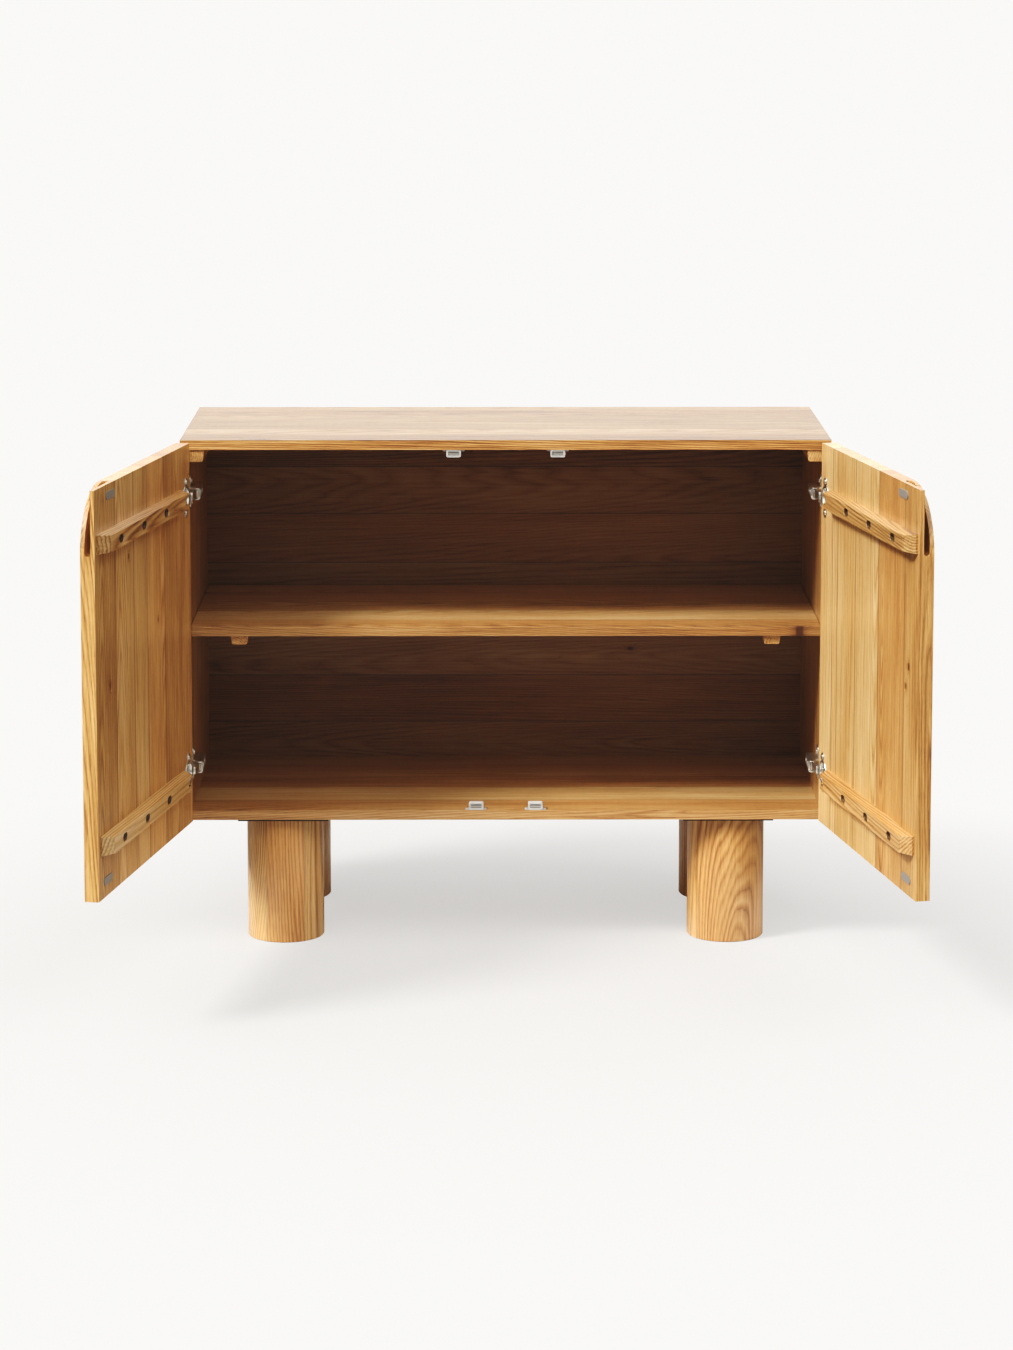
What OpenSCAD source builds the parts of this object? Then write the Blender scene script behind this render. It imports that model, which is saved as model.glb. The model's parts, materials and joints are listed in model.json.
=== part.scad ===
// Two-door shoe cabinet in solid oak on four round legs, doors standing open.
// Millimetres, +Z up, doors to -Y. The origin is on the floor, midway across the
// cabinet and midway between the open doors' free edges and the carcass's rear.

/* [Overall] */
// Width of the carcass and of the closed doors, mm
overall_width = 1000; // [940:10:1200]
// Depth of the carcass without its doors, mm
carcass_depth = 400; // [380:10:460]
// Height from the floor to the top face, mm
overall_height = 795; // [760:5:860]
// Height of the carcass's underside above the floor, mm
floor_clearance = 200; // [160:5:240]

/* [Carcass] */
// Thickness of the top, the bottom and the shelf, mm
panel_thickness = 15; // [14:1:20]
// Thickness of the sides, mm
side_thickness = 12; // [12:1:18]
// Thickness of the back, mm
back_thickness = 8; // [6:1:10]
// Inset of the back from the rear edges, mm
back_inset = 10; // [8:1:16]
// Height of the shelf's top face above the bottom panel's top face, mm
shelf_level = 288; // [250:4:330]

/* [Legs] */
// Diameter of each leg, mm
leg_diameter = 120; // [90:2:130]
// Distance from the middle of the cabinet to a leg's centre, sideways, mm
leg_offset = 346; // [300:2:390]
// Distance from the front or the rear edge to a leg's centre, mm
leg_inset = 75; // [72:1:100]
// Side of each square steel leg plate, mm
plate_side = 140; // [132:2:144]
// Thickness of each leg plate, mm
plate_thickness = 3; // [3:1:5]

/* [Doors] */
// Thickness of the doors, mm
door_thickness = 21; // [20:1:24]
// Opening angle of the doors at rest, degrees
open_angle = 101; // [90:1:106]
// Gap between the closed doors and the carcass, mm
door_gap = 2; // [2:0.5:4]
// Gap between the two closed doors, mm
centre_gap = 2; // [2:1:4]
// Radius of the rounded finger grip at each door's free top corner, mm
grip_radius = 94; // [70:2:96]
// Width of the finger slot inside the door, mm
slot_width = 9; // [8:0.5:11]
// Thickness of the door battens, mm
batten_thickness = 18; // [16:1:20]
// Distance of each hinge from the middle of the door's height, mm
hinge_spread = 214; // [190:2:222]

/* [Hidden] */
$fn = 96;

oak = [0.80, 0.60, 0.37];
oak_light = [0.84, 0.66, 0.44];
oak_dark = [0.74, 0.53, 0.31];
steel = [0.74, 0.74, 0.73];
black_steel = [0.08, 0.08, 0.08];
pale_plastic = [0.88, 0.88, 0.86];

// Carcass levels
half_width = overall_width / 2;
bottom_face = floor_clearance + panel_thickness;
top_face = overall_height - panel_thickness;
side_face = half_width - side_thickness;
back_front = carcass_depth - back_inset - back_thickness;
groove_depth = 5;
shelf_top = bottom_face + shelf_level;
shelf_under = shelf_top - panel_thickness;
shelf_front = 8;

// Door: its own axes have x from the hinge edge, y from the inner face and z from the floor
edge_reveal = 1;
door_width = half_width - edge_reveal - centre_gap / 2;
door_low = floor_clearance + 2;
door_high = overall_height - 2.5;
door_middle = (door_low + door_high) / 2;
grip_board = 100;
slot_middle = -door_thickness * 0.49;
outer_layer = slot_middle - slot_width / 2;
hinge_levels = [door_middle + hinge_spread, door_middle - hinge_spread];
batten_levels = [door_middle + 217, door_middle - 217];
batten_start = 54;
batten_end = door_width - 10;
screw_step = (door_width - 150) / 3;
hole_depth = 11;
strike_level = [top_face - 4, bottom_face + 10];
catch_level = [top_face, bottom_face];
catch_offset = [80, 46];
catch_height = 12;

// Pivot of each door, on the left side
pivot_x = -half_width + edge_reveal + 2.4;
pivot_y = -door_gap - 12;
reach = -pivot_y + (door_width - 2.4) * sin(open_angle) - 12 * cos(open_angle);
front_y = (reach - carcass_depth) / 2;

// Hinge hardware, on the left side
cup_inset = 22.5;
cup_radius = 17.5;
cup_depth = 12;
link_x = -side_face + 12;
link_y = 5;
link_length = 24;
plate_screw_y = 37;

module at_front() {
  translate([0, front_y, 0]) children();
}

module handed(side) {
  if (side > 0) {
    mirror([1, 0, 0]) children();
  } else {
    children();
  }
}

// Places a shape given in the door's own axes on the open door
module on_door(side) {
  handed(side) at_front()
    translate([pivot_x, pivot_y, 0]) rotate([0, 0, -open_angle])
      translate([-pivot_x - half_width + edge_reveal, -pivot_y - door_gap, 0]) children();
}

module leg_places() {
  for (x = [-leg_offset, leg_offset]) {
    for (y = [leg_inset, carcass_depth - leg_inset]) {
      translate([x, y, 0]) children();
    }
  }
}

module plate_screw_places() {
  screw_offset = plate_side / 2 - 9;
  for (x = [-screw_offset, screw_offset]) {
    for (y = [-screw_offset, screw_offset]) {
      translate([x, y, 0]) children();
    }
  }
}

module catch_places(level) {
  for (x = [-catch_offset[level], catch_offset[level]]) {
    for (ear = [-14.3, 14.3]) {
      translate([x + ear, 6.5, catch_level[level]]) children();
    }
  }
}

// ---- carcass ----

module back_shape() {
  translate([-side_face - groove_depth, back_front, bottom_face - groove_depth])
    cube([2 * (side_face + groove_depth), back_thickness, top_face - bottom_face + 2 * groove_depth]);
}

module top_panel() {
  color(oak) at_front() difference() {
    translate([-half_width, 0, top_face]) cube([overall_width, carcass_depth, panel_thickness]);
    back_shape();
    catch_places(0) cylinder(r = 1.2, h = 8);
  }
}

module bottom_panel() {
  color(oak) at_front() difference() {
    translate([-half_width, 0, floor_clearance])
      cube([overall_width, carcass_depth, panel_thickness]);
    back_shape();
    catch_places(1) translate([0, 0, -8]) cylinder(r = 1.2, h = 9);
    leg_places() plate_screw_places() translate([0, 0, floor_clearance - 1])
      cylinder(r = 2.2, h = 11);
  }
}

module side_panel(side) {
  color(oak) handed(side) at_front() difference() {
    translate([-half_width, 0, bottom_face])
      cube([side_thickness, carcass_depth, top_face - bottom_face]);
    back_shape();
    for (z = hinge_levels) {
      for (dz = [-16, 16]) {
        translate([-side_face - 9, plate_screw_y, z + dz]) rotate([0, 90, 0])
          cylinder(r = 2, h = 10);
      }
    }
    for (y = [60, back_front - 60]) {
      translate([-side_face - 8, y, shelf_under - 5.5]) rotate([0, 90, 0])
        cylinder(r = 2.5, h = 9);
    }
  }
}

module back_panel() {
  color(oak_dark) at_front() back_shape();
}

module shelf() {
  color(oak) at_front()
    translate([-side_face + 0.5, shelf_front, shelf_under])
      cube([2 * side_face - 1, back_front - shelf_front - 2, panel_thickness]);
}

module top_batten(side) {
  color(oak_light) handed(side) at_front()
    translate([0, 2, 0]) rotate([90, 0, 0]) mirror([0, 0, 1])
      linear_extrude(height = back_front - 4)
        polygon([
          [-side_face, top_face], [-side_face, top_face - 19],
          [-side_face + 21, top_face - 19], [-side_face + 23, top_face - 17],
          [-side_face + 25, top_face]
        ]);
}

module shelf_batten(side) {
  color(oak_light) handed(side) at_front()
    translate([-412, shelf_front + 6, 0]) rotate([90, 0, 0]) mirror([0, 0, 1])
      linear_extrude(height = back_front - shelf_front - 40)
        polygon([
          [-14, shelf_under], [-12, shelf_under - 12], [-10.5, shelf_under - 14],
          [10.5, shelf_under - 14], [12, shelf_under - 12], [14, shelf_under]
        ]);
}

// One steel pin under each corner of the shelf, with a flat seat
module shelf_pins() {
  color(steel) for (side = [-1, 1]) {
    handed(side) at_front() for (y = [60, back_front - 60]) {
      translate([-side_face - 8, y, shelf_under - 5.5]) rotate([0, 90, 0])
        cylinder(r = 2.5, h = 9);
      translate([-side_face, y - 5, shelf_under - 9]) cube([2, 10, 9]);
      translate([-side_face + 2, y - 5, shelf_under - 2]) cube([9, 10, 2]);
    }
  }
}

// ---- legs ----

module leg_plate(side, rear) {
  color(black_steel) handed(side) at_front()
    translate([-leg_offset, rear ? carcass_depth - leg_inset : leg_inset, 0]) difference() {
      translate([-plate_side / 2, -plate_side / 2, floor_clearance - plate_thickness])
        cube([plate_side, plate_side, plate_thickness]);
      translate([0, 0, floor_clearance - plate_thickness - 1])
        cylinder(r = 5, h = plate_thickness + 2);
      translate([0, 0, floor_clearance - 2]) cylinder(r1 = 5, r2 = 9, h = 2);
      plate_screw_places() translate([0, 0, floor_clearance - plate_thickness - 1])
        cylinder(r = 2.2, h = plate_thickness + 2);
      plate_screw_places() translate([0, 0, floor_clearance - plate_thickness])
        cylinder(r1 = 4.4, r2 = 2.2, h = 2.2);
    }
}

module leg(side, rear) {
  leg_high = floor_clearance - plate_thickness;
  leg_radius = leg_diameter / 2;
  color(oak) handed(side) at_front()
    translate([-leg_offset, rear ? carcass_depth - leg_inset : leg_inset, 0]) difference() {
      rotate_extrude() polygon([
        [0, 0], [leg_radius - 1.5, 0], [leg_radius, 1.5], [leg_radius, leg_high - 1.5],
        [leg_radius - 1.5, leg_high], [0, leg_high]
      ]);
      translate([0, 0, leg_high - 60]) cylinder(r = 5, h = 61);
    }
}

module leg_bolts() {
  color(steel) at_front() leg_places() {
    translate([0, 0, floor_clearance - plate_thickness - 60])
      cylinder(r = 5, h = 58 + plate_thickness);
    translate([0, 0, floor_clearance - 2]) cylinder(r1 = 5, r2 = 9, h = 2);
  }
}

module leg_plate_screws() {
  color(steel) at_front() leg_places() plate_screw_places() {
    translate([0, 0, floor_clearance - plate_thickness])
      cylinder(r1 = 4.4, r2 = 2.2, h = 2.2);
    translate([0, 0, floor_clearance - plate_thickness + 2.2])
      cylinder(r = 2.2, h = 7.8 + plate_thickness);
  }
}

// ---- doors, in the door's own axes ----

module batten_screw_places() {
  for (z = batten_levels) {
    for (i = [0 : 3]) {
      translate([75 + i * screw_step, 0, z]) rotate([-90, 0, 0]) children();
    }
  }
}

module cup_screw_places() {
  for (z = hinge_levels) {
    for (dz = [-24, 24]) {
      translate([cup_inset, 0, z + dz]) rotate([-90, 0, 0]) children();
    }
  }
}

module strike_places() {
  for (i = [0, 1]) {
    translate([door_width - catch_offset[i] + centre_gap / 2, 0, strike_level[i]])
      rotate([-90, 0, 0]) children();
  }
}

module door_slab(from, to) {
  translate([from, -door_thickness, door_low])
    cube([to - from, door_thickness, door_high - door_low]);
}

module door_holes() {
  batten_screw_places() translate([0, 0, -10]) cylinder(r = 2, h = 11);
  cup_screw_places() translate([0, 0, -9]) cylinder(r = 1.7, h = 10);
  strike_places() translate([0, 0, -5]) cylinder(r = 1.5, h = 6);
}

module door_panel(side) {
  color(oak_light) on_door(side) difference() {
    door_slab(0, door_width - grip_board);
    for (z = hinge_levels) {
      translate([cup_inset, 0, z]) rotate([90, 0, 0]) translate([0, 0, -1])
        cylinder(r = cup_radius, h = cup_depth + 1);
    }
    door_holes();
  }
}

// The board along the free edge: its outer layer has a rounded top corner and a
// disc-shaped finger slot with a rounded rim is sunk between its two faces
module door_grip_board(side) {
  color(oak_light) on_door(side) difference() {
    door_slab(door_width - grip_board, door_width);
    door_holes();
    translate([door_width, slot_middle, door_high]) rotate([90, 0, 0])
      rotate_extrude() {
        translate([0, -slot_width / 2]) square([grip_radius - slot_width / 2, slot_width]);
        translate([grip_radius - slot_width / 2, 0]) intersection() {
          circle(r = slot_width / 2);
          translate([0, -slot_width]) square([slot_width, 2 * slot_width]);
        }
      }
    difference() {
      translate([door_width - grip_radius, -door_thickness - 1, door_high - grip_radius])
        cube([grip_radius + 1, door_thickness + 1 + outer_layer, grip_radius + 1]);
      translate([door_width - grip_radius, outer_layer + 1, door_high - grip_radius])
        rotate([90, 0, 0]) cylinder(r = grip_radius, h = door_thickness + 4);
    }
  }
}

module door_batten(side, level) {
  color(oak_light) on_door(side) difference() {
    intersection() {
      translate([0, 0, batten_levels[level] - 20]) linear_extrude(height = 40)
        polygon([
          [batten_start, 0], [batten_end, 0], [batten_end, 3],
          [batten_end - batten_thickness + 3, batten_thickness],
          [batten_start + batten_thickness - 3, batten_thickness], [batten_start, 3]
        ]);
      translate([0, 0, batten_levels[level]]) rotate([90, 0, 90])
        linear_extrude(height = door_width) polygon([
          [0, -14], [batten_thickness, -12], [batten_thickness, 12], [0, 14]
        ]);
    }
    for (i = [0 : 3]) {
      translate([75 + i * screw_step, 0, batten_levels[level]]) {
        for (dx = [-5, 5]) {
          translate([dx, batten_thickness - hole_depth, 0]) rotate([-90, 0, 0])
            cylinder(r = 6, h = hole_depth + 1);
          translate([dx * 0.6, -1, 0]) rotate([-90, 0, 0])
            cylinder(r = 2.2, h = batten_thickness);
        }
        translate([-5, batten_thickness - hole_depth, -6]) cube([10, hole_depth + 1, 12]);
        translate([-3, -1, -2.2]) cube([6, batten_thickness, 4.4]);
      }
    }
  }
}

module door_batten_screws(side) {
  color(steel) on_door(side) batten_screw_places() {
    translate([0, 0, -10]) cylinder(r = 2, h = batten_thickness - hole_depth + 10);
    translate([0, 0, batten_thickness - hole_depth]) difference() {
      cylinder(r = 4.2, h = 2.6);
      translate([-3, -0.5, 1.6]) cube([6, 1, 2]);
      translate([-0.5, -3, 1.6]) cube([1, 6, 2]);
    }
  }
}

module door_strikes(side) {
  color(steel) on_door(side) strike_places() difference() {
    union() {
      translate([-15, -6, 0]) cube([30, 12, 1.2]);
      for (x = [-15, 15]) {
        translate([x, 0, 0]) cylinder(r = 6, h = 1.2);
      }
    }
    translate([0, 0, -1]) cylinder(r = 1.5, h = 4);
    translate([0, 0, 0.2]) cylinder(r1 = 1.5, r2 = 2.5, h = 1);
  }
}

module door_strike_screws(side) {
  color(steel) on_door(side) strike_places() {
    translate([0, 0, -5]) cylinder(r = 1.5, h = 5.2);
    translate([0, 0, 0.2]) cylinder(r1 = 1.5, r2 = 2.5, h = 1);
  }
}

// ---- concealed hinges ----

module hinge_cup(side, level) {
  color(steel) on_door(side)
    translate([cup_inset, 0, hinge_levels[level]]) rotate([-90, 0, 0]) difference() {
      union() {
        translate([0, 0, -cup_depth]) cylinder(r = cup_radius, h = cup_depth);
        cylinder(r = 18.8, h = 1.2);
        translate([-7, -24, 0]) cube([14, 48, 1.2]);
        for (dz = [-24, 24]) {
          translate([0, dz, 0]) cylinder(r = 7, h = 1.2);
        }
      }
      difference() {
        translate([0, 0, 1 - cup_depth]) cylinder(r = 14.5, h = cup_depth + 1);
        translate([-10, -4.5, -cup_depth]) cube([6, 9, cup_depth + 3]);
      }
      for (dz = [-24, 24]) {
        translate([0, dz, -1]) cylinder(r = 1.7, h = 3);
      }
    }
}

module cup_screws(side) {
  color(steel) on_door(side) cup_screw_places() {
    translate([0, 0, -9]) cylinder(r = 1.7, h = 10.2);
    translate([0, 0, 1.2]) difference() {
      cylinder(r = 3.6, h = 1.6);
      translate([-2.4, -0.4, 0.8]) cube([4.8, 0.8, 1]);
      translate([-0.4, -2.4, 0.8]) cube([0.8, 4.8, 1]);
    }
  }
}

module hinge_plate(side, level) {
  color(steel) handed(side) at_front()
    translate([-side_face, plate_screw_y, hinge_levels[level]]) difference() {
      union() {
        translate([0, -12, -26]) cube([2, 25, 52]);
        translate([0, -16, -7.3]) cube([16.5, 40, 14.6]);
      }
      for (dz = [-16, 16]) {
        translate([-1, 0, dz]) rotate([0, 90, 0]) cylinder(r = 2, h = 4);
      }
    }
}

module hinge_plate_screws() {
  color(steel) for (side = [-1, 1]) {
    handed(side) at_front() for (z = hinge_levels) {
      for (dz = [-16, 16]) {
        translate([-side_face, plate_screw_y, z + dz]) rotate([0, 90, 0]) {
          translate([0, 0, -9]) cylinder(r = 2, h = 11);
          translate([0, 0, 2]) difference() {
            cylinder(r = 4, h = 1.8);
            translate([-2.6, -0.4, 0.8]) cube([5.2, 0.8, 2]);
            translate([-0.4, -2.6, 0.8]) cube([0.8, 5.2, 2]);
          }
        }
      }
    }
  }
}

// Channel arm over the mounting plate; its web stops short of the link's pin
module hinge_arm(side, level) {
  color(steel) handed(side) at_front() translate([0, 0, hinge_levels[level]]) {
    for (dz = [-9, 7.5]) {
      translate([-side_face + 6, 1, dz]) cube([12, 61, 1.5]);
    }
    translate([-side_face + 16.5, 12, -9]) cube([1.5, 50, 18]);
    translate([link_x, link_y, -9]) cylinder(r = 1.5, h = 18);
  }
}

// Link on the arm's pin; its far end hangs free of the cup, as the linkage is opened there
module hinge_link(side, level) {
  color(steel) handed(side) at_front()
    translate([link_x, link_y, hinge_levels[level] - 5.5]) linear_extrude(height = 11)
      difference() {
        union() {
          circle(r = 3.3);
          rotate(-open_angle - 2) translate([0, -2]) square([link_length, 4]);
          rotate(-open_angle - 2) translate([link_length, 0]) circle(r = 2.5);
        }
        circle(r = 1.8);
      }
}

// ---- magnetic catches ----

module catch(side, level) {
  flip = level == 0 ? 1 : 0;
  color(pale_plastic) handed(side) at_front()
    translate([-catch_offset[level], 0.5, catch_level[level]]) mirror([0, 0, flip]) difference() {
      union() {
        translate([-11.5, 0, 0]) cube([23, 13, catch_height]);
        translate([-17, 1.5, 0]) cube([34, 9, 2]);
      }
      translate([-8.5, -1, 3]) cube([17, 2, 6]);
      for (ear = [-14.3, 14.3]) {
        translate([ear, 6, -1]) cylinder(r = 1.2, h = 4);
      }
    }
}

module catch_screws() {
  color(steel) for (level = [0, 1]) {
    flip = level == 0 ? 1 : 0;
    at_front() catch_places(level) mirror([0, 0, flip]) {
      translate([0, 0, -8]) cylinder(r = 1.2, h = 10);
      translate([0, 0, 2]) cylinder(r = 2.2, h = 1.1);
    }
  }
}

module top_batten_left() { top_batten(-1); }
module top_batten_right() { top_batten(1); }
module side_panel_left() { side_panel(-1); }
module side_panel_right() { side_panel(1); }
module shelf_batten_left() { shelf_batten(-1); }
module shelf_batten_right() { shelf_batten(1); }
module leg_plate_front_left() { leg_plate(-1, false); }
module leg_plate_front_right() { leg_plate(1, false); }
module leg_plate_rear_left() { leg_plate(-1, true); }
module leg_plate_rear_right() { leg_plate(1, true); }
module leg_front_left() { leg(-1, false); }
module leg_front_right() { leg(1, false); }
module leg_rear_left() { leg(-1, true); }
module leg_rear_right() { leg(1, true); }
module left_door_panel() { door_panel(-1); }
module right_door_panel() { door_panel(1); }
module left_door_grip_board() { door_grip_board(-1); }
module right_door_grip_board() { door_grip_board(1); }
module left_door_batten_upper() { door_batten(-1, 0); }
module left_door_batten_lower() { door_batten(-1, 1); }
module right_door_batten_upper() { door_batten(1, 0); }
module right_door_batten_lower() { door_batten(1, 1); }
module left_door_batten_screws() { door_batten_screws(-1); }
module right_door_batten_screws() { door_batten_screws(1); }
module left_door_strikes() { door_strikes(-1); }
module right_door_strikes() { door_strikes(1); }
module left_door_strike_screws() { door_strike_screws(-1); }
module right_door_strike_screws() { door_strike_screws(1); }
module hinge_cup_left_upper() { hinge_cup(-1, 0); }
module hinge_cup_left_lower() { hinge_cup(-1, 1); }
module hinge_cup_right_upper() { hinge_cup(1, 0); }
module hinge_cup_right_lower() { hinge_cup(1, 1); }
module left_cup_screws() { cup_screws(-1); }
module right_cup_screws() { cup_screws(1); }
module hinge_arm_left_upper() { hinge_arm(-1, 0); }
module hinge_arm_left_lower() { hinge_arm(-1, 1); }
module hinge_arm_right_upper() { hinge_arm(1, 0); }
module hinge_arm_right_lower() { hinge_arm(1, 1); }
module hinge_plate_left_upper() { hinge_plate(-1, 0); }
module hinge_plate_left_lower() { hinge_plate(-1, 1); }
module hinge_plate_right_upper() { hinge_plate(1, 0); }
module hinge_plate_right_lower() { hinge_plate(1, 1); }
module hinge_link_left_upper() { hinge_link(-1, 0); }
module hinge_link_left_lower() { hinge_link(-1, 1); }
module hinge_link_right_upper() { hinge_link(1, 0); }
module hinge_link_right_lower() { hinge_link(1, 1); }
module catch_upper_left() { catch(-1, 0); }
module catch_upper_right() { catch(1, 0); }
module catch_lower_left() { catch(-1, 1); }
module catch_lower_right() { catch(1, 1); }

top_panel();
bottom_panel();
side_panel_left();
side_panel_right();
back_panel();
shelf();
top_batten_left();
top_batten_right();
shelf_batten_left();
shelf_batten_right();
shelf_pins();
leg_plate_front_left();
leg_plate_front_right();
leg_plate_rear_left();
leg_plate_rear_right();
leg_front_left();
leg_front_right();
leg_rear_left();
leg_rear_right();
leg_bolts();
leg_plate_screws();
left_door_panel();
left_door_grip_board();
left_door_batten_upper();
left_door_batten_lower();
left_door_batten_screws();
left_door_strikes();
left_door_strike_screws();
right_door_panel();
right_door_grip_board();
right_door_batten_upper();
right_door_batten_lower();
right_door_batten_screws();
right_door_strikes();
right_door_strike_screws();
hinge_cup_left_upper();
hinge_cup_left_lower();
hinge_cup_right_upper();
hinge_cup_right_lower();
left_cup_screws();
right_cup_screws();
hinge_arm_left_upper();
hinge_arm_left_lower();
hinge_arm_right_upper();
hinge_arm_right_lower();
hinge_plate_left_upper();
hinge_plate_left_lower();
hinge_plate_right_upper();
hinge_plate_right_lower();
hinge_plate_screws();
hinge_link_left_upper();
hinge_link_left_lower();
hinge_link_right_upper();
hinge_link_right_lower();
catch_upper_left();
catch_upper_right();
catch_lower_left();
catch_lower_right();
catch_screws();
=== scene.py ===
import json
import math
import bmesh
import bpy
import numpy as np
from mathutils import Matrix, Vector


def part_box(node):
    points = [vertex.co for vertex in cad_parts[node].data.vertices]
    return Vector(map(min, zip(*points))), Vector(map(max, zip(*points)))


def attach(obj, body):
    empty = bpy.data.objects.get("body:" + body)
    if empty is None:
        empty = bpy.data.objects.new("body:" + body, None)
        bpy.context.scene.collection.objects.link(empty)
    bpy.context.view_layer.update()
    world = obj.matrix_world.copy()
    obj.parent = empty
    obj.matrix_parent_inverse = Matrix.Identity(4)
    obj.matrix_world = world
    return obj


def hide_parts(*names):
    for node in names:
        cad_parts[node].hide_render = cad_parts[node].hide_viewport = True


# Two-door oak shoe cabinet. Lengths are metres in the CAD frame unless a name ends in Mm.
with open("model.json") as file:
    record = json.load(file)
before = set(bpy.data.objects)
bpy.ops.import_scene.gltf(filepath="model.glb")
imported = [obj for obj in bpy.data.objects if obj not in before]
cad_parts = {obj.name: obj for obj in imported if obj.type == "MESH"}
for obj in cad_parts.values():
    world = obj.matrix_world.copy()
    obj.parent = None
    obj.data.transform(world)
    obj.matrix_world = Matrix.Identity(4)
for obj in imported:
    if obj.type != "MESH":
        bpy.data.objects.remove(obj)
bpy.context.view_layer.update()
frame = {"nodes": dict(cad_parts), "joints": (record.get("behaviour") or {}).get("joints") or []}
print("stage: frame loaded")

# ---- colours and shader nodes ----


def linearColour(hexText):
    # Each channel c of an sRGB hex colour becomes c/12.92 below 0.04045, else ((c+0.055)/1.055)^2.4.
    parts = [int(hexText[i:i + 2], 16) / 255 for i in (1, 3, 5)]
    return [c / 12.92 if c <= 0.04045 else ((c + 0.055) / 1.055) ** 2.4 for c in parts] + [1.0]


def put(tree, kind, settings=None, inputs=None):
    # One node: settings are its properties, inputs are sockets to link or values to set.
    node = tree.nodes.new(kind)
    for key, value in (settings or {}).items():
        setattr(node, key, value)
    for key, value in (inputs or {}).items():
        if isinstance(value, bpy.types.NodeSocket):
            tree.links.new(value, node.inputs[key])
        else:
            node.inputs[key].default_value = value
    return node


def chain(tree, steps, start):
    # Math steps in a row: each (operation, second value) works on the result so far.
    for operation, value in steps:
        inputs = {0: start} if value is None else {0: start, 1: value}
        start = put(tree, "ShaderNodeMath", {"operation": operation}, inputs).outputs[0]
    return start


def fillRamp(node, stops):
    # Sets a colour ramp from (position, hex colour) pairs.
    ramp = node.color_ramp
    while len(ramp.elements) < len(stops):
        ramp.elements.new(0.5)
    for element, (position, colour) in zip(ramp.elements, stops):
        element.position = position
        element.color = linearColour(colour)
    return node


oakLook = {
    "streakContrast": 0.48,
    "fibreContrast": 0.30,
    "patchContrast": 0.30,
    "boardContrast": 0.30,
    "poreDepthMm": 0.12,
    "coat": 0.65,
    "colours": [(0.0, "#7c532f"), (0.26, "#ae7f4d"), (0.5, "#d0a36b"), (0.74, "#e1bc8a"), (1.0, "#efd1a5")],
    "knotColour": "#5a3216",
}


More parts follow.
